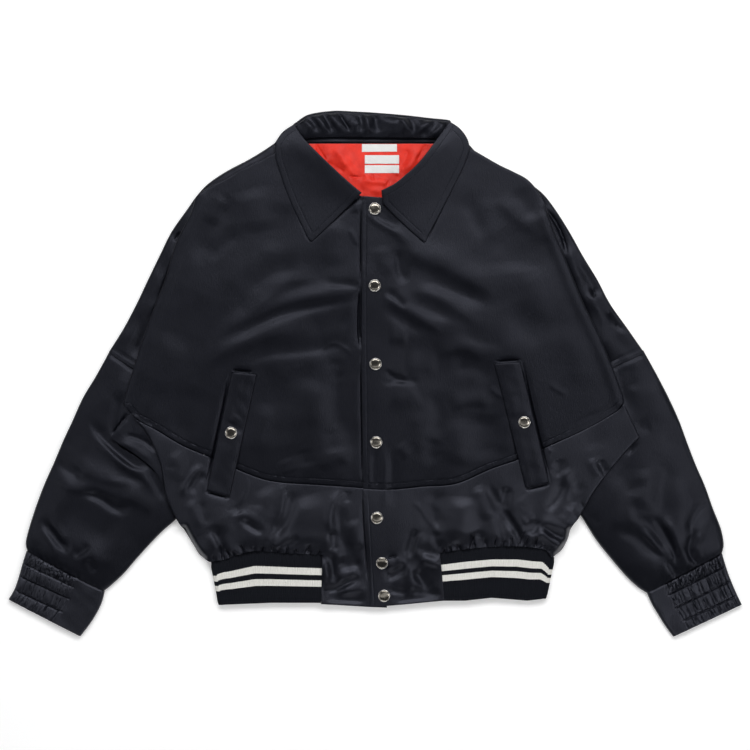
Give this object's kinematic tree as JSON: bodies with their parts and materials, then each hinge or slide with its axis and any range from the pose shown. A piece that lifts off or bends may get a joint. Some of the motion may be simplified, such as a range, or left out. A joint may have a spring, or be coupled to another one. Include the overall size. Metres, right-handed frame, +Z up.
{
  "type": "satin snap-front jacket laid flat",
  "caption": "Satin blouson with a shirt collar, snap front, slanted welt pockets, shirred cuffs and a ribbed, striped hem band, laid flat on its back.",
  "frame": {"origin": "on the surface that the jacket lies on, under the middle of its box", "axes": "+X towards the wearer's left, +Y from the hem to the collar, +Z up from the surface, out of the front"},
  "size_m": [1.0228, 0.7338, 0.0263],
  "materials": {
    "satin": "near-black navy satin",
    "knit": "black rib knit with two white stripes",
    "lining": "orange-red lining",
    "label": "plain white woven label",
    "nickel": "polished nickel"
  },
  "bodies": {
    "root": {"back": "satin", "front_upper_right": "satin", "front_lower_right": "satin", "shoulder_right": "satin", "sleeve_right": "satin", "cuff_right": "satin", "front_upper_left": "satin", "front_lower_left": "satin", "shoulder_left": "satin", "sleeve_left": "satin", "cuff_left": "satin", "underarm_right": "satin", "hem_rib_right": "knit", "hem_rib_back": "knit", "hem_rib_left": "knit", "collar_leaf_right": "satin", "collar_band_right": "satin", "collar_leaf_left": "satin", "collar_band_left": "satin", "collar_roll": "satin", "lining_neck": "lining", "neck_label_top": "label", "neck_label_middle": "label", "neck_label_bottom": "label", "pocket_welt_right": "satin", "pocket_welt_left": "satin", "snap_front_1": "nickel", "snap_front_2": "nickel", "snap_front_3": "nickel", "snap_front_4": "nickel", "snap_front_5": "nickel", "snap_front_6": "nickel", "snap_front_7": "nickel", "snap_pocket_right": "nickel", "snap_pocket_left": "nickel"}
  },
  "joints": []
}
